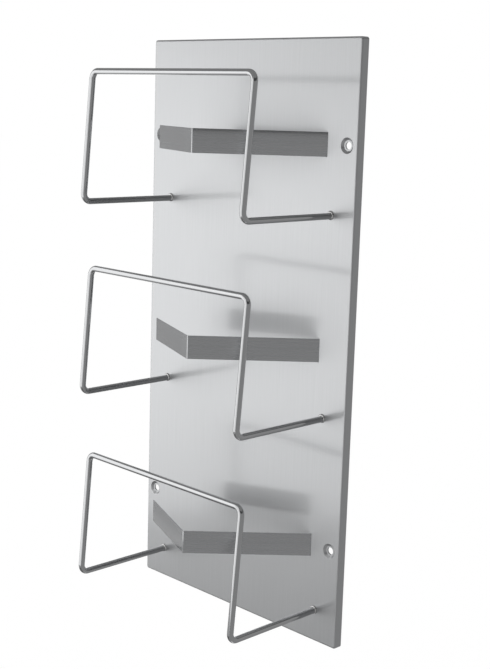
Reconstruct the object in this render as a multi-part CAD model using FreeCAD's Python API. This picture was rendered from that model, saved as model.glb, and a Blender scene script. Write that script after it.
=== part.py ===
import FreeCAD, Part
import math
import os

from FreeCAD import Vector

# Wall-mounted holder for a column of glove boxes, all in stainless steel.
# A shallow folded tray is screwed to the wall. Each bay of it carries one bent
# wire loop, which holds a box by its lower corners and leaves its front open,
# and one folded leaf spring, which presses the box against the loop.
# Frame: +X to the right and +Z up along the wall, -Y out of the wall.
# Origin: middle of the tray, on the wall plane. All sizes are in millimetres.

# Back tray: one sheet with its four edges folded back to the wall
plate_width = 220.0
bay_pitch = 150.0
bay_names = ["bottom", "middle", "top"]
tray_depth = 7.0
sheet_thickness = 1.2
inside_bend_radius = 0.2
inside_corner_radius = 0.8

# Screw holes: a pressed conical seat round each, so that a screw head sits flush
screw_inset = 10.0
screw_hole_diameter = 5.5
seat_mouth_diameter = 11.5
seat_floor_diameter = 7.8
seat_depth = 1.6
seat_lip_radius = 0.3

# Wire loops: round rod, each foot butt-welded to the tray's face
rod_diameter = 4.8
rod_bend_radius = 6.0
foot_inset = 22.75
foot_height = 24.4
pocket_depth = 86.0
loop_rise = 98.1
loop_lean = 8.2
weld_ring_diameter = 6.8
weld_ring_length = 1.5
weld_ring_rim = 0.35

# Leaf springs: flat strip with a foot hooked through a slot and spot-welded to
# the back of the sheet, a long blade that runs out to a crest, and a shorter tip
# that comes back towards the tray
strip_width = 17.5
strip_thickness = 0.6
inner_fold_radius = 0.4
flex_clearance = 0.3
root_inset = 28.6
spring_foot_length = 20.0
blade_length = 96.0
blade_angle = 46.9
tip_length = 76.3
tip_angle = 23.3
crest_curl = 45.0
slot_clearance = 0.2
slot_corner_radius = 0.5

# How far two measures may differ and still count as the same
same = 1e-6

# Sizes that follow from those above
plate_height = len(bay_names) * bay_pitch
face_y = -tray_depth
rod_radius = rod_diameter / 2
foot_x = plate_width / 2 - foot_inset
loop_reach = pocket_depth + rod_radius
screw_x = plate_width / 2 - screw_inset
fold_radius = inner_fold_radius + strip_thickness
half_strip = strip_thickness / 2
root_x = plate_width / 2 - root_inset


def bay_floor(row):
    """Height of a bay's lower edge, counting rows from the bottom."""
    return row * bay_pitch - plate_height / 2


def bay_middle(row):
    return bay_floor(row) + bay_pitch / 2


# The springs in plan, as points (x, out), where out is the distance in front of
# the tray's face. Angles start at +X and turn towards the front.

def plan_point(x, out):
    return Vector(x, face_y - out, 0)


def around(centre, radius, angle):
    turn = math.radians(angle)
    return (centre[0] + radius * math.cos(turn), centre[1] + radius * math.sin(turn))


def plan_line(first, last):
    return Part.LineSegment(plan_point(*first), plan_point(*last)).toShape()


def plan_arc(centre, radius, first_angle, last_angle):
    angles = (first_angle, (first_angle + last_angle) / 2, last_angle)
    points = [plan_point(*around(centre, radius, angle)) for angle in angles]
    return Part.Arc(*points).toShape()


blade_heading = 180 - blade_angle
blade_normal = blade_heading - 90
tip_heading = 180 + tip_angle
tip_normal = tip_heading - 90


def below_blade_front(run, depth):
    """The plan point at a depth inside the blade's front, at a run from the face."""
    return around(around((root_x, 0), run, blade_heading), -depth, blade_normal)


def run_at_height(depth, out):
    """The run at which a line at that depth inside the blade is out from the face."""
    normal_out = math.cos(math.radians(blade_angle))
    return (out + depth * normal_out) / math.sin(math.radians(blade_angle))


# the crest is folded about this line, and the blade flexes about the root line
crest_axis = below_blade_front(blade_length, fold_radius)
root_axis = below_blade_front(
    run_at_height(half_strip, half_strip + flex_clearance), half_strip
)
# the foot hooks round the slot's edge on to the back of the sheet
hook_depth = strip_thickness + inner_fold_radius
hook_out = inner_fold_radius - sheet_thickness
hook_centre = below_blade_front(run_at_height(hook_depth, hook_out), hook_depth)


# Back tray

def edges_along_y(shape):
    return [e for e in shape.Edges if e.BoundBox.XLength < same and e.BoundBox.ZLength < same]


def rounded_block(width, height, front, back, corner, front_edge):
    """A block whose four corners are rounded, and then the rim of its front face."""
    block = Part.makeBox(
        width, back - front, height, Vector(-width / 2, front, -height / 2)
    )
    block = block.makeFillet(corner, edges_along_y(block))
    rim = [e for e in block.Edges if e.BoundBox.YMax < front + front_edge / 2]
    return block.makeFillet(front_edge, rim)


def revolve_about_y(profile, centre_x, centre_z):
    """Turn a closed outline of (radius, y) points about a line along Y."""
    points = [Vector(centre_x + radius, y, centre_z) for radius, y in profile]
    face = Part.Face(Part.makePolygon(points + points[:1]))
    return face.revolve(Vector(centre_x, 0, centre_z), Vector(0, 1, 0), 360)


def seat_outline(offset):
    """The pressed seat's (radius, depth below the tray's face) at its rim and its
    floor, moved outwards and backwards by the thickness of the metal."""
    mouth = seat_mouth_diameter / 2
    floor = seat_floor_diameter / 2
    slope = (mouth - floor) / seat_depth
    shift = offset * math.hypot(1, slope)
    depth = seat_depth + offset
    return mouth + shift - slope * offset, floor + shift - slope * offset, depth


def screw_seat_body(x, z):
    """The metal that the press pushes back behind the tray's face."""
    rim, floor, depth = seat_outline(sheet_thickness)
    start = face_y + sheet_thickness
    profile = [(0, start), (rim, start), (floor, face_y + depth), (0, face_y + depth)]
    return revolve_about_y(profile, x, z)


def screw_seat_cut(x, z):
    """The open cone in front, with the screw's hole through its floor."""
    rim, floor, depth = seat_outline(0)
    hole = screw_hole_diameter / 2
    behind = face_y + depth + sheet_thickness
    profile = [(0, face_y), (rim, face_y), (floor, face_y + depth),
               (hole, face_y + depth), (hole, behind), (0, behind)]
    return revolve_about_y(profile, x, z)


def spring_slot_cut(row):
    """The slot through the sheet that a spring's foot is hooked through."""
    neck_back = below_blade_front(run_at_height(strip_thickness, 0), strip_thickness)
    left = neck_back[0] - slot_clearance
    right = hook_centre[0] + fold_radius + slot_clearance
    height = strip_width + 2 * slot_clearance
    corner = Vector(left, face_y, bay_middle(row) - height / 2)
    slot = Part.makeBox(right - left, sheet_thickness, height, corner)
    return slot.makeFillet(slot_corner_radius, edges_along_y(slot))


def make_back_plate():
    tray = rounded_block(
        plate_width,
        plate_height,
        face_y,
        0,
        inside_corner_radius + sheet_thickness,
        inside_bend_radius + sheet_thickness,
    )
    hollow = rounded_block(
        plate_width - 2 * sheet_thickness,
        plate_height - 2 * sheet_thickness,
        face_y + sheet_thickness,
        sheet_thickness,
        inside_corner_radius,
        inside_bend_radius,
    )
    tray = tray.cut(hollow)
    for row in range(len(bay_names)):
        tray = tray.cut(spring_slot_cut(row))
    for z in (bay_middle(0), bay_middle(len(bay_names) - 1)):
        for x in (-screw_x, screw_x):
            tray = tray.fuse(screw_seat_body(x, z)).cut(screw_seat_cut(x, z))
    mouths = [
        e for e in tray.Edges
        if isinstance(e.Curve, Part.Circle)
        and abs(e.Curve.Radius - seat_mouth_diameter / 2) < same
        and abs(e.Curve.Center.y - face_y) < same
    ]
    return tray.makeFillet(seat_lip_radius, mouths)


# Wire loops

def rod_bend(corner, towards, away):
    """The bend at a corner of the rod's centre-line. Returns the bend, and the
    points where the straight runs before and after it end."""
    turn = math.acos(towards.dot(away))
    setback = rod_bend_radius * math.tan(turn / 2)
    start = corner - towards * setback
    end = corner + away * setback
    inward = (away - towards * away.dot(towards)).normalize()
    section = Part.Face(Part.Wire(Part.makeCircle(rod_radius, start, towards)))
    axis = towards.cross(away).normalize()
    centre = start + inward * rod_bend_radius
    return section.revolve(centre, axis, math.degrees(turn)), start, end


def rod_run(start, end):
    return Part.makeCylinder(rod_radius, (end - start).Length, start, end - start)


def rod_foot(start, end):
    """The foot's straight run, with the weld's small fillet ring where it starts."""
    length = (end - start).Length
    ring = weld_ring_diameter / 2
    profile = [(0, 0), (ring, 0), (ring, -weld_ring_rim), (rod_radius, -weld_ring_length),
               (rod_radius, -length), (0, -length)]
    profile = [(radius, start.y + y) for radius, y in profile]
    return revolve_about_y(profile, start.x, start.z)


def make_wire_loop(row):
    """Foot, bend, upright, bend and half of the top bar, and their mirror image."""
    base = Vector(foot_x, face_y, bay_floor(row) + foot_height)
    knee = base + Vector(0, -loop_reach, 0)
    shoulder = knee + Vector(0, loop_lean, loop_rise)
    middle = Vector(0, shoulder.y, shoulder.z)
    outwards = Vector(0, -1, 0)
    upwards = (shoulder - knee).normalize()
    across = Vector(-1, 0, 0)
    lower_bend, foot_end, upright_start = rod_bend(knee, outwards, upwards)
    upper_bend, upright_end, bar_start = rod_bend(shoulder, upwards, across)
    half = rod_foot(base, foot_end).multiFuse([
        lower_bend,
        rod_run(upright_start, upright_end),
        upper_bend,
        rod_run(bar_start, middle),
    ])
    other_half = half.mirror(Vector(0, 0, 0), Vector(1, 0, 0))
    return half.fuse(other_half).removeSplitter()


# Leaf springs

def strip_solid(edges, row):
    """Give a closed plan outline the strip's width, at the middle of its bay."""
    face = Part.Face(Part.Wire(edges))
    solid = face.extrude(Vector(0, 0, strip_width))
    solid.translate(Vector(0, 0, bay_middle(row) - strip_width / 2))
    return solid


def make_spring_foot(row):
    """The short neck in the slot, the hook round the sheet's edge, and the flange
    on the sheet's back. The neck's end is hollowed round the root."""
    hollow = half_strip + flex_clearance
    spread = math.degrees(math.asin(half_strip / hollow))
    neck_heading = -blade_angle
    front_neck = around(root_axis, hollow, neck_heading + spread)
    back_neck = around(root_axis, hollow, neck_heading - spread)
    flange_front = -sheet_thickness
    flange_back = flange_front - strip_thickness
    far = root_x - spring_foot_length
    edges = [
        plan_arc(root_axis, hollow, neck_heading - spread, neck_heading + spread),
        plan_line(front_neck, around(hook_centre, fold_radius, blade_normal)),
        plan_arc(hook_centre, fold_radius, blade_normal, -90),
        plan_line((hook_centre[0], flange_back), (far, flange_back)),
        plan_line((far, flange_back), (far, flange_front)),
        plan_line((far, flange_front), (hook_centre[0], flange_front)),
        plan_arc(hook_centre, inner_fold_radius, -90, blade_normal),
        plan_line(around(hook_centre, inner_fold_radius, blade_normal), back_neck),
    ]
    return strip_solid(edges, row)


def make_spring_blade(row):
    """The long blade, from its rounded root to the fold of the crest. The crest
    curls on a little past the tip's heading, up to the tip's end."""
    crest_end = tip_normal + crest_curl
    outer, inner = fold_radius, inner_fold_radius
    back_normal = blade_normal - 180
    edges = [
        plan_arc(root_axis, half_strip, back_normal, blade_normal),
        plan_line(around(root_axis, half_strip, blade_normal), around(crest_axis, outer, blade_normal)),
        plan_arc(crest_axis, outer, blade_normal, crest_end),
        plan_line(around(crest_axis, outer, crest_end), around(crest_axis, inner, crest_end)),
        plan_arc(crest_axis, inner, crest_end, blade_normal),
        plan_line(around(crest_axis, inner, blade_normal), around(root_axis, half_strip, back_normal)),
    ]
    return strip_solid(edges, row)


def make_spring_tip(row):
    """The tip. Its near end is hollowed round the crest, its far end is free."""
    hollow = fold_radius + flex_clearance
    outer_angle = tip_heading - math.degrees(math.asin(fold_radius / hollow))
    inner_angle = tip_heading - math.degrees(math.asin(inner_fold_radius / hollow))
    outer_line = around(crest_axis, fold_radius, tip_normal)
    inner_line = around(crest_axis, inner_fold_radius, tip_normal)
    outer_end = around(outer_line, tip_length, tip_heading)
    inner_end = around(inner_line, tip_length, tip_heading)
    edges = [
        plan_arc(crest_axis, hollow, outer_angle, inner_angle),
        plan_line(around(crest_axis, hollow, inner_angle), inner_end),
        plan_line(inner_end, outer_end),
        plan_line(outer_end, around(crest_axis, hollow, outer_angle)),
    ]
    return strip_solid(edges, row)


parts = {"back_plate": make_back_plate()}
for row, bay in enumerate(bay_names):
    parts["wire_loop_" + bay] = make_wire_loop(row)
    parts["spring_foot_" + bay] = make_spring_foot(row)
    parts["spring_blade_" + bay] = make_spring_blade(row)
    parts["spring_tip_" + bay] = make_spring_tip(row)

os.makedirs("parts", exist_ok=True)
for name, shape in parts.items():
    solids = shape.Solids
    print(name, "solids", len(solids), "valid", shape.isValid(), "volume", round(shape.Volume, 2))
    solids[0].exportStep("parts/" + name + ".step")
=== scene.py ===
import bpy
import math
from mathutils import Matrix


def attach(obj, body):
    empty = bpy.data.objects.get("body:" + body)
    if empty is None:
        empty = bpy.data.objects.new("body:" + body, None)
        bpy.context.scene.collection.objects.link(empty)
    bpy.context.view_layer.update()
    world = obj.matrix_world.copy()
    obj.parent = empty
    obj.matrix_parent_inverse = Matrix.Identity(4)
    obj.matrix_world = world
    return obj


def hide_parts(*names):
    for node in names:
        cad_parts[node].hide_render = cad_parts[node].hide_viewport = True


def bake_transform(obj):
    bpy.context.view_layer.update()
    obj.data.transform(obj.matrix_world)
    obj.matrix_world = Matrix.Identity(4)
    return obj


# Wall-mounted holder for a column of three glove boxes, all in stainless steel. +X is to the
# right and +Z up along the wall, and -Y is out of it. The origin is the middle of the tray, on
# the wall. Sizes are in metres and angles in degrees.

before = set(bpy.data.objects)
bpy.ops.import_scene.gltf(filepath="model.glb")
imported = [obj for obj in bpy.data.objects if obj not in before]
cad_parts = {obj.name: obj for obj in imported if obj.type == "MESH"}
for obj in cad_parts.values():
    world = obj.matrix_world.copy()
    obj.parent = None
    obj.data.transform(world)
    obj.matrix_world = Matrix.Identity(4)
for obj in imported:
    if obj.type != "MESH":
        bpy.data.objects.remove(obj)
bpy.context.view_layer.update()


# Back tray: one sheet of stainless steel, brushed from top to bottom, with its four edges
# folded back to the wall and a conical seat pressed in round each screw hole. Its satin finish
# mirrors the loops and springs softly.

plate_width = 0.220
tray_depth = 0.0070
sheet_thickness = 0.0012
face_y = -tray_depth

grain_detail = 3.0
grain_roughness = 0.65
cloud_scale = 14.0
cloud_detail = 2.0
cloud_share = 0.2
haze_roughness = 0.45
haze_spread = 0.2
level_normal = 0.7


class Signal:
    """A node's output. Arithmetic on it adds Math nodes to the same tree."""

    def __init__(self, tree, socket):
        self.tree = tree
        self.socket = socket

    def output(self, name):
        return Signal(self.tree, self.socket.node.outputs[name])

    def math(self, operation, *values):
        return self.tree.add("ShaderNodeMath", {"operation": operation}, dict(enumerate(values)))

    def __add__(self, other):
        return self.math("ADD", self, other)

    def __sub__(self, other):
        return self.math("SUBTRACT", self, other)

    def __rsub__(self, other):
        return self.math("SUBTRACT", other, self)

    def __mul__(self, other):
        return self.math("MULTIPLY", self, other)

    def __gt__(self, other):
        return self.math("GREATER_THAN", self, other)

    def __abs__(self):
        return self.math("ABSOLUTE", self)

    __radd__ = __add__
    __rmul__ = __mul__


class NodeTree:
    """Adds nodes to a shader or geometry tree: first a node's settings, then its inputs, each
    by its label, or by its place where several have the same label."""

    def __init__(self, tree):
        self.tree = tree

    def add(self, kind, settings=None, inputs=None):
        node = self.tree.nodes.new(kind)
        for name, value in (settings or {}).items():
            setattr(node, name, value)
        free = [socket for socket in node.inputs if socket.enabled]
        for name, value in (inputs or {}).items():
            socket = free[name] if isinstance(name, int) else next(s for s in free if s.name == name)
            if isinstance(value, Signal):
                self.tree.links.new(value.socket, socket)
            else:
                socket.default_value = value
        return Signal(self, next((s for s in node.outputs if s.enabled), None))


def shader_tree(owner):
    owner.use_nodes = True
    owner.node_tree.nodes.clear()
    return NodeTree(owner.node_tree)


def steel(name, place, grain_size, colours, roughness, relief, haze, anisotropy=0.0, grain_turn=0.0):
    """Stainless steel with a grain of fine lines. place builds the vector that the grain is
    read at, whose last part runs along the lines, and grain_size is the lines' width and
    length. Colours and roughness go from the lines' bottom to their top, and relief is their
    depth. haze is the share of the surface that scatters light widely, round the clear
    reflection."""
    material = bpy.data.materials.new(name)
    tree = shader_tree(material)
    across, along = 1 / grain_size[0], 1 / grain_size[1]
    grain_place = tree.add("ShaderNodeVectorMath", {"operation": "MULTIPLY"}, {
        0: place(tree), 1: (across, across, along)})
    grain = tree.add("ShaderNodeTexNoise", {}, {
        "Vector": grain_place, "Scale": 1.0, "Detail": grain_detail, "Roughness": grain_roughness})
    cloud = tree.add("ShaderNodeTexNoise", {}, {
        "Vector": tree.add("ShaderNodeTexCoord").output("Object"),
        "Scale": cloud_scale, "Detail": cloud_detail})
    mixed = grain * (1 - cloud_share) + cloud * cloud_share
    colour = tree.add("ShaderNodeMix", {"data_type": "RGBA"}, {
        "Factor": mixed, "A": colours[0] + (1.0,), "B": colours[1] + (1.0,)})
    lines = tree.add("ShaderNodeBump", {}, {
        "Strength": 1.0, "Distance": relief, "Height": grain})
    clear = tree.add("ShaderNodeBsdfPrincipled", {}, {
        "Base Color": colour, "Metallic": 1.0, "Normal": lines,
        "Roughness": mixed * (roughness[1] - roughness[0]) + roughness[0],
        "Anisotropic": anisotropy, "Anisotropic Rotation": grain_turn})
    hazy = tree.add("ShaderNodeBsdfPrincipled", {}, {
        "Base Color": colour, "Metallic": 1.0, "Roughness": haze_roughness})
    surface = tree.add("ShaderNodeMixShader", {}, {
        0: mixed * haze_spread + (haze - haze_spread / 2), 1: clear, 2: hazy})
    tree.add("ShaderNodeOutputMaterial", {}, {"Surface": surface})
    return material


def down_the_sheet(tree):
    """Across the grain and along it, on the face and round all four folded edges. The top and
    bottom edges are known by a normal that points up or down."""
    at = tree.add("ShaderNodeSeparateXYZ", {}, {
        0: tree.add("ShaderNodeTexCoord").output("Object")})
    facing = tree.add("ShaderNodeSeparateXYZ", {}, {
        0: tree.add("ShaderNodeNewGeometry").output("Normal")})
    on_level_edge = abs(facing.output("Z")) > level_normal
    across = at.output("X") + at.output("Y") * (1 - on_level_edge)
    along = at.output("Z") + at.output("Y") * on_level_edge
    return tree.add("ShaderNodeCombineXYZ", {}, {"X": across, "Z": along})


sheet_steel = steel(
    "satin_sheet_steel", down_the_sheet, grain_size=(0.00035, 0.060),
    colours=((0.512, 0.519, 0.527), (0.540, 0.547, 0.556)), roughness=(0.13, 0.17),
    relief=0.000003, haze=0.79, anisotropy=0.55)
back_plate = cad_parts["back_plate"]
back_plate.data.materials.clear()
back_plate.data.materials.append(sheet_steel)


# Wire loops: one for each bay, bent from bright drawn stainless rod. Each is one rod: a foot, a
# knee, a leaning upright, a shoulder and the bar across the top, then the same down to the
# other foot. It is open in front, where a box is pulled out.

bay_names = ["bottom", "middle", "top"]
bay_pitch = 0.150
lowest_bay = -len(bay_names) * bay_pitch / 2

rod_diameter = 0.0048
rod_bend_radius = 0.0060
rod_sides = 36
bend_steps = 14
foot_inset = 0.02275
foot_x = plate_width / 2 - foot_inset
foot_height = 0.0244
pocket_depth = 0.0860
loop_reach = pocket_depth + rod_diameter / 2
loop_rise = 0.0981
loop_lean = 0.0082


def sizes_tree(name, sizes):
    """A geometry tree with a named input for each size. Returns it and its inputs."""
    sockets = {float: "NodeSocketFloat", int: "NodeSocketInt", bpy.types.Material: "NodeSocketMaterial"}
    group = bpy.data.node_groups.new(name, "GeometryNodeTree")
    group.interface.new_socket("Geometry", in_out="OUTPUT", socket_type="NodeSocketGeometry")
    group.interface.new_socket("Geometry", in_out="INPUT", socket_type="NodeSocketGeometry")
    for size, value in sizes.items():
        group.interface.new_socket(size, in_out="INPUT", socket_type=sockets[type(value)])
    tree = NodeTree(group)
    return tree, tree.add("NodeGroupInput")


def grow(name, tree, points, edges, sizes, smooth_below):
    """Run a tree on points joined by edges, and keep what comes out as one plain mesh, smooth
    where its faces meet at less than smooth_below."""
    seed = bpy.data.meshes.new(name)
    seed.from_pydata(points, edges, [])
    carrier = bpy.data.objects.new(name + "_path", seed)
    bpy.context.scene.collection.objects.link(carrier)
    modifier = carrier.modifiers.new("shape", "NODES")
    modifier.node_group = tree.tree
    for item in tree.tree.interface.items_tree:
        if item.name in sizes:
            modifier[item.identifier] = sizes[item.name]
    evaluated = carrier.evaluated_get(bpy.context.evaluated_depsgraph_get())
    mesh = bpy.data.meshes.new_from_object(evaluated)
    bpy.data.objects.remove(carrier)
    mesh.shade_smooth()
    mesh.set_sharp_from_angle(angle=math.radians(smooth_below))
    piece = bpy.data.objects.new(name, mesh)
    bpy.context.scene.collection.objects.link(piece)
    return piece


def sweep(tree, path, section):
    """Sweep a closed section along a path. The mesh remembers where each of its points is in
    the section and how far it is along the path, for a grain that follows the bends."""
    parameter = tree.add("GeometryNodeSplineParameter")
    path = tree.add("GeometryNodeStoreNamedAttribute", {"data_type": "FLOAT"}, {
        "Geometry": path, "Name": "run", "Value": parameter.output("Length")})
    section = tree.add("GeometryNodeStoreNamedAttribute", {"data_type": "FLOAT_VECTOR"}, {
        "Geometry": section, "Name": "section", "Value": tree.add("GeometryNodeInputPosition")})
    return tree.add("GeometryNodeCurveToMesh", {}, {
        "Curve": path, "Profile Curve": section, "Fill Caps": True})


def along_the_path(tree):
    """The place in a swept piece's section, and the length along its path."""
    section = tree.add("ShaderNodeSeparateXYZ", {}, {
        0: tree.add("ShaderNodeAttribute", {"attribute_name": "section"}).output("Vector")})
    run = tree.add("ShaderNodeAttribute", {"attribute_name": "run"}).output("Fac")
    return tree.add("ShaderNodeCombineXYZ", {}, {
        "X": section.output("X"), "Y": section.output("Y"), "Z": run})


rod_steel = steel(
    "bright_rod_steel", along_the_path, grain_size=(0.00060, 0.040),
    colours=((0.500, 0.505, 0.513), (0.553, 0.559, 0.567)), roughness=(0.05, 0.10),
    relief=0.000004, haze=0.04)

rod_sizes = {
    "Rod Diameter": rod_diameter,
    "Bend Radius": rod_bend_radius,
    "Bays": len(bay_names),
    "Bay Pitch": bay_pitch,
    "Lowest Bay": lowest_bay,
    "Steel": rod_steel,
}
tree, size = sizes_tree("bent rod in every bay", rod_sizes)
bent = tree.add("GeometryNodeFilletCurve", {"mode": "POLY"}, {
    "Curve": tree.add("GeometryNodeMeshToCurve", {}, {"Mesh": size.output("Geometry")}),
    "Count": bend_steps, "Radius": size.output("Bend Radius")})
round_section = tree.add("GeometryNodeCurvePrimitiveCircle", {}, {
    "Resolution": rod_sides, "Radius": size.output("Rod Diameter") * 0.5})
bays = tree.add("GeometryNodeMeshLine", {}, {
    "Count": size.output("Bays"),
    "Start Location": tree.add("ShaderNodeCombineXYZ", {}, {"Z": size.output("Lowest Bay")}),
    "Offset": tree.add("ShaderNodeCombineXYZ", {}, {"Z": size.output("Bay Pitch")})})
loops = tree.add("GeometryNodeInstanceOnPoints", {}, {
    "Points": bays, "Instance": sweep(tree, bent, round_section)})
loops = tree.add("GeometryNodeRealizeInstances", {}, {"Geometry": loops})
tree.add("NodeGroupOutput", {}, {"Geometry": tree.add("GeometryNodeSetMaterial", {}, {
    "Geometry": loops, "Material": size.output("Steel")})})

knee_y = face_y - loop_reach
half_loop = [(foot_x, face_y, foot_height), (foot_x, knee_y, foot_height),
             (foot_x, knee_y + loop_lean, foot_height + loop_rise)]
loop_corners = half_loop + [(-x, y, z) for x, y, z in reversed(half_loop)]
loop_edges = [(corner, corner + 1) for corner in range(len(loop_corners) - 1)]
wire_loops = grow("wire_loops", tree, loop_corners, loop_edges, rod_sizes, smooth_below=25)
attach(wire_loops, "plate")
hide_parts(*("wire_loop_" + bay for bay in bay_names))


# Weld beads: a small ring of weld metal round the root of each of the six feet, where the rod
# meets the tray's face. It sits a little above the rod's middle, so it is thickest on top, and
# it was polished, so it is smooth but not quite even.

bead_diameter = 0.0068
bead_length = 0.0012
bead_lift = 0.0005
bead_inside = 0.0004
bead_ripple = 0.00016
ripple_scale = 700.0
ripple_detail = 1.0
ring_sides = 48
hump_sides = 24

weld_steel = steel(
    "polished_weld_steel", lambda tree: tree.add("ShaderNodeTexCoord").output("Object"),
    grain_size=(0.00080, 0.00080), colours=((0.500, 0.500, 0.500), (0.600, 0.600, 0.600)),
    roughness=(0.04, 0.10), relief=0.000020, haze=0.05)

bead_sizes = {
    "Rod Diameter": rod_diameter,
    "Bead Diameter": bead_diameter,
    "Bead Length": bead_length,
    "Depth In Sheet": bead_inside,
    "Ripple": bead_ripple,
    "Seed": 4,
    "Steel": weld_steel,
}
tree, size = sizes_tree("weld bead at each foot", bead_sizes)
ring = tree.add("GeometryNodeCurvePrimitiveCircle", {}, {
    "Resolution": ring_sides, "Radius": size.output("Rod Diameter") * 0.5})
thickness = (size.output("Bead Diameter") - size.output("Rod Diameter")) * 0.5
hump = tree.add("GeometryNodeTransform", {}, {
    "Geometry": tree.add("GeometryNodeCurvePrimitiveCircle", {}, {
        "Resolution": hump_sides, "Radius": 1.0}),
    "Scale": tree.add("ShaderNodeCombineXYZ", {}, {
        "X": thickness, "Y": size.output("Bead Length"), "Z": 1.0})})
bead = tree.add("GeometryNodeTransform", {}, {
    "Geometry": tree.add("GeometryNodeCurveToMesh", {}, {"Curve": ring, "Profile Curve": hump}),
    "Rotation": (math.radians(90), 0.0, 0.0)})
beads = tree.add("GeometryNodeInstanceOnPoints", {}, {
    "Points": size.output("Geometry"), "Instance": bead})
beads = tree.add("GeometryNodeRealizeInstances", {}, {"Geometry": beads})
unevenness = tree.add("ShaderNodeTexNoise", {"noise_dimensions": "4D"}, {
    "W": size.output("Seed"), "Scale": ripple_scale, "Detail": ripple_detail})
beads = tree.add("GeometryNodeSetPosition", {}, {
    "Geometry": beads,
    "Offset": tree.add("ShaderNodeVectorMath", {"operation": "SCALE"}, {
        "Vector": tree.add("GeometryNodeInputNormal"),
        "Scale": (unevenness - 0.5) * size.output("Ripple")})})
at = tree.add("ShaderNodeSeparateXYZ", {}, {0: tree.add("GeometryNodeInputPosition")})
beads = tree.add("GeometryNodeSetPosition", {}, {
    "Geometry": beads,
    "Position": tree.add("ShaderNodeCombineXYZ", {}, {
        "X": at.output("X"),
        "Y": at.math("MINIMUM", at.output("Y"), size.output("Depth In Sheet") + face_y),
        "Z": at.output("Z")})})
tree.add("NodeGroupOutput", {}, {"Geometry": tree.add("GeometryNodeSetMaterial", {}, {
    "Geometry": beads, "Material": size.output("Steel")})})

bead_height = foot_height + bead_lift
bead_centres = [(side * foot_x, face_y, lowest_bay + bay * bay_pitch + bead_height)
                for bay in range(len(bay_names)) for side in (-1, 1)]
weld_beads = grow("weld_beads", tree, bead_centres, [], bead_sizes, smooth_below=60)
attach(weld_beads, "plate")


# Leaf springs: one folded strip of cold-rolled spring steel in each bay. Its foot lies on the
# back of the sheet, spot-welded, and hooks forward through a slot. The long blade runs out to
# the crest, and the shorter tip comes back towards the tray. A box presses the crest in.

strip_width = 0.0175
strip_thickness = 0.0006
strip_edge_radius = 0.00012
edge_steps = 3
inner_fold_radius = 0.0004
fold_steps = 12
root_inset = 0.0286
root_x = plate_width / 2 - root_inset
spring_foot_length = 0.0200
blade_length = 0.0960
blade_angle = 46.9
tip_length = 0.0763
tip_angle = 23.3

strip_steel = steel(
    "rolled_strip_steel", along_the_path, grain_size=(0.00060, 0.250),
    colours=((0.433, 0.439, 0.448), (0.593, 0.601, 0.612)), roughness=(0.13, 0.20),
    relief=0.000005, haze=0.25, anisotropy=0.2, grain_turn=0.25)

# path points are close together where the strip flexes, and far apart where it stays straight
flex_step = 0.00025
flex_steps = 24
near_root = [flex_step * step for step in range(1, flex_steps + 1)]
near_crest = [0.0002, 0.0005, 0.0009, 0.0014, 0.0020, 0.0030]
fold_margin = 0.0005


def plan_step(start, length, heading):
    """The plan point (x, out from the face) at a length from start. Headings begin at +X and
    turn towards the front."""
    turn = math.radians(heading)
    return start[0] + length * math.cos(turn), start[1] + length * math.sin(turn)


def fold(centre, radius, first, last):
    return [plan_step(centre, radius, first + (last - first) * step / fold_steps)
            for step in range(fold_steps + 1)]


def straight(start, heading, lengths):
    return [plan_step(start, length, heading) for length in lengths]


blade_heading = 180 - blade_angle
blade_normal = blade_heading - 90
tip_heading = 180 + tip_angle
tip_normal = tip_heading - 90
middle_fold = inner_fold_radius + strip_thickness / 2
outer_fold = inner_fold_radius + strip_thickness


def under_blade(run, depth):
    """The plan point at a run along the blade's front face, and a depth behind that face."""
    return plan_step(plan_step((root_x, 0.0), run, blade_heading), -depth, blade_normal)


hook_out = inner_fold_radius - sheet_thickness
hook_run = (hook_out + outer_fold * math.cos(math.radians(blade_angle))) / math.sin(
    math.radians(blade_angle))
hook_centre = under_blade(hook_run, outer_fold)
crest_centre = under_blade(blade_length, outer_fold)
foot_end = (root_x - spring_foot_length, hook_out - middle_fold)
foot_run = hook_centre[0] - foot_end[0]

blade_start = plan_step(hook_centre, middle_fold, blade_normal)
blade_middle = under_blade(blade_length / 2, strip_thickness / 2)
blade_end = plan_step(crest_centre, middle_fold, blade_normal)
tip_start = plan_step(crest_centre, middle_fold, tip_normal)

root_path = (
    straight(foot_end, 0, [0, foot_run / 2, foot_run - fold_margin])
    + fold(hook_centre, middle_fold, -90, blade_normal)
    + straight(blade_start, blade_heading, near_root)
    + [blade_middle]
)
crest_path = (
    [blade_middle]
    + straight(blade_end, blade_heading, [-length for length in reversed(near_crest)])
    + fold(crest_centre, middle_fold, blade_normal, tip_normal)
    + straight(tip_start, tip_heading, near_crest + [tip_length / 2, tip_length])
)

strip_sizes = {
    "Strip Width": strip_width,
    "Strip Thickness": strip_thickness,
    "Edge Radius": strip_edge_radius,
    "Height": 0.0,
    "Steel": strip_steel,
}
tree, size = sizes_tree("folded strip", strip_sizes)
path = tree.add("GeometryNodeSetCurveNormal", {"mode": "Z_UP"}, {
    "Curve": tree.add("GeometryNodeMeshToCurve", {}, {"Mesh": size.output("Geometry")})})
flat_section = tree.add("GeometryNodeFilletCurve", {"mode": "POLY"}, {
    "Curve": tree.add("GeometryNodeCurvePrimitiveQuadrilateral", {}, {
        "Width": size.output("Strip Thickness"), "Height": size.output("Strip Width")}),
    "Count": edge_steps, "Radius": size.output("Edge Radius")})
strip = tree.add("GeometryNodeTransform", {}, {
    "Geometry": sweep(tree, path, flat_section),
    "Translation": tree.add("ShaderNodeCombineXYZ", {}, {"Z": size.output("Height")})})
strip = tree.add("GeometryNodeRealizeInstances", {}, {"Geometry": strip})
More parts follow.
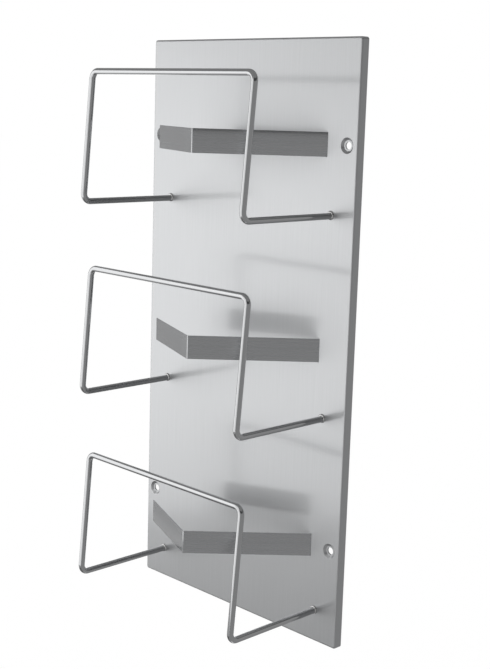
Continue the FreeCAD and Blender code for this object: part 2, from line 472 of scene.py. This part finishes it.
tree.add("NodeGroupOutput", {}, {"Geometry": tree.add("GeometryNodeSetMaterial", {}, {
    "Geometry": strip, "Material": size.output("Steel")})})


def spring_strip(name, plan, height):
    points = [(x, face_y - out, 0.0) for x, out in plan]
    edges = [(point, point + 1) for point in range(len(points) - 1)]
    piece = grow(name, tree, points, edges, {**strip_sizes, "Height": height}, smooth_below=17)
    return piece


for row, bay in enumerate(bay_names):
    height = lowest_bay + (row + 0.5) * bay_pitch
    root = spring_strip("spring_root_" + bay, root_path, height)
    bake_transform(root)
    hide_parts("spring_foot_" + bay, "spring_blade_" + bay)
    crest = spring_strip("spring_crest_" + bay, crest_path, height)
    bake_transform(crest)
    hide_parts("spring_tip_" + bay)


# Camera: to the right of the holder and a little above its middle, turned slightly clockwise.

camera = bpy.data.objects.new("camera", bpy.data.cameras.new("camera"))
camera.data.lens = 67.06
camera.data.sensor_width = 36.0
camera.location = (0.6833, -0.6770, 0.1780)
camera.rotation_euler = tuple(math.radians(angle) for angle in (79.433, -1.730, 45.727))
bpy.context.scene.collection.objects.link(camera)
bpy.context.scene.camera = camera


# Studio: a pale floor a metre below the holder, a white surround and a soft lamp to the left in
# front. A booth of cards that only reflections show stands round it: bright panels to the left,
# seen between a lintel and a sill close to the holder, and grey cards for the rest.

floor_height = -1.05
floor_reach = 30.0
floor_grey = 0.90
floor_glow = 0.145
surround_light = 0.95


def seen_directly(tree):
    """1 for what the camera sees, also in metal or through glass, and 0 for light on things."""
    ray = tree.add("ShaderNodeLightPath")
    return ray.math("MAXIMUM", ray.output("Is Camera Ray"), ray.math(
        "MAXIMUM", ray.output("Is Glossy Ray"), ray.output("Is Transmission Ray")))


world = bpy.data.worlds.new("white_surround")
bpy.context.scene.world = world
tree = shader_tree(world)
sky = tree.add("ShaderNodeMix", {"data_type": "RGBA"}, {
    "Factor": seen_directly(tree), "A": (surround_light, surround_light, surround_light, 1.0),
    "B": (1.0, 1.0, 1.0, 1.0)})
tree.add("ShaderNodeOutputWorld", {}, {
    "Surface": tree.add("ShaderNodeBackground", {}, {"Color": sky, "Strength": 1.0})})

floor_mesh = bpy.data.meshes.new("floor")
floor_mesh.from_pydata([(x * floor_reach, y * floor_reach, floor_height)
                        for x, y in ((-1, -1), (1, -1), (1, 1), (-1, 1))], [], [(0, 1, 2, 3)])
floor = bpy.data.objects.new("floor", floor_mesh)
bpy.context.scene.collection.objects.link(floor)
floor_paint = bpy.data.materials.new("pale_floor")
tree = shader_tree(floor_paint)
tree.add("ShaderNodeOutputMaterial", {}, {"Surface": tree.add("ShaderNodeBsdfPrincipled", {}, {
    "Base Color": (floor_grey, floor_grey, floor_grey, 1.0),
    "Roughness": 0.9, "Specular IOR Level": 0.0, "Emission Color": (1.0, 1.0, 1.0, 1.0),
    "Emission Strength": seen_directly(tree) * floor_glow})})
floor_mesh.materials.append(floor_paint)

card_step = 5


def card(name, azimuths, lower, upper, brightness):
    """A card round the holder, between two (radius, height) rims, from one azimuth to another.
    Azimuth 0 is in front and 90 to the right. Only reflections show it."""
    first, last = azimuths
    steps = round((last - first) / card_step)
    turns = [math.radians(first + (last - first) * step / steps) for step in range(steps + 1)]
    points = [(radius * math.sin(turn), -radius * math.cos(turn), height)
              for radius, height in (lower, upper) for turn in turns]
    above = steps + 1
    faces = [(step, step + 1, step + 1 + above, step + above) for step in range(steps)]
    mesh = bpy.data.meshes.new(name)
    mesh.from_pydata(points, [], faces)
    board = bpy.data.materials.new(name)
    tree = shader_tree(board)
    tree.add("ShaderNodeOutputMaterial", {}, {"Surface": tree.add("ShaderNodeEmission", {}, {
        "Color": (brightness, brightness, brightness, 1.0), "Strength": 1.0})})
    board.cycles.emission_sampling = "NONE"
    mesh.materials.append(board)
    piece = bpy.data.objects.new(name, mesh)
    piece.visible_camera = False
    piece.visible_diffuse = False
    piece.visible_shadow = False
    piece.visible_transmission = False
    bpy.context.scene.collection.objects.link(piece)


booth_radius = 2.4
booth_foot = (booth_radius, -1.0)
booth_top = (booth_radius, 1.6)
gap_rim = (booth_radius, 0.35)
right_rim = (booth_radius, 0.62)
back_right_rim = (booth_radius, 0.9)
lintel = (0.45, 0.298)
lintel_top = (0.45, 1.2)
sill = (0.92, -0.455)
low_rim = (0.92, -0.75)
top_middle = (0.01, booth_top[1])
low_middle = (0.02, low_rim[1])
foot_middle = (0.2, booth_foot[1])

card("panel_left", (285, 335), booth_foot, booth_top, 1.53)
card("panel_behind_left", (222, 240), booth_foot, gap_rim, 1.5)
card("card_right", (12, 120), booth_foot, right_rim, 0.352)
card("card_right_above", (12, 120), right_rim, booth_top, 0.075)
card("card_back_right", (120, 160), booth_foot, back_right_rim, 0.39)
card("card_back_right_above", (120, 160), back_right_rim, booth_top, 0.135)
card("card_back", (160, 222), booth_foot, booth_top, 0.165)
card("card_behind_left", (240, 285), booth_foot, booth_top, 0.4)
card("card_over_window", (285, 372), lintel, lintel_top, 0.315)
card("card_window_right", (335, 372), sill, lintel, 1.17)
card("card_over_gap", (222, 240), gap_rim, booth_top, 0.36)
card("card_overhead", (0, 360), booth_top, top_middle, 0.3)
card("card_under_window", (240, 372), low_rim, sill, 0.48)
card("card_low_left", (240, 372), low_rim, low_middle, 0.195)
card("card_low_right", (12, 240), booth_foot, foot_middle, 0.36)

lamp = bpy.data.objects.new("soft_lamp", bpy.data.lights.new("soft_lamp", "AREA"))
lamp.data.shape = "RECTANGLE"
lamp.data.size = 1.8
lamp.data.size_y = 0.6
lamp.data.energy = 0.4
lamp.location = (-1.80, -1.85, -0.34)
lamp.rotation_euler = (math.radians(90), 0.0, math.radians(-44))
lamp.visible_camera = False
bpy.context.scene.collection.objects.link(lamp)

bpy.context.scene.view_settings.view_transform = "Standard"
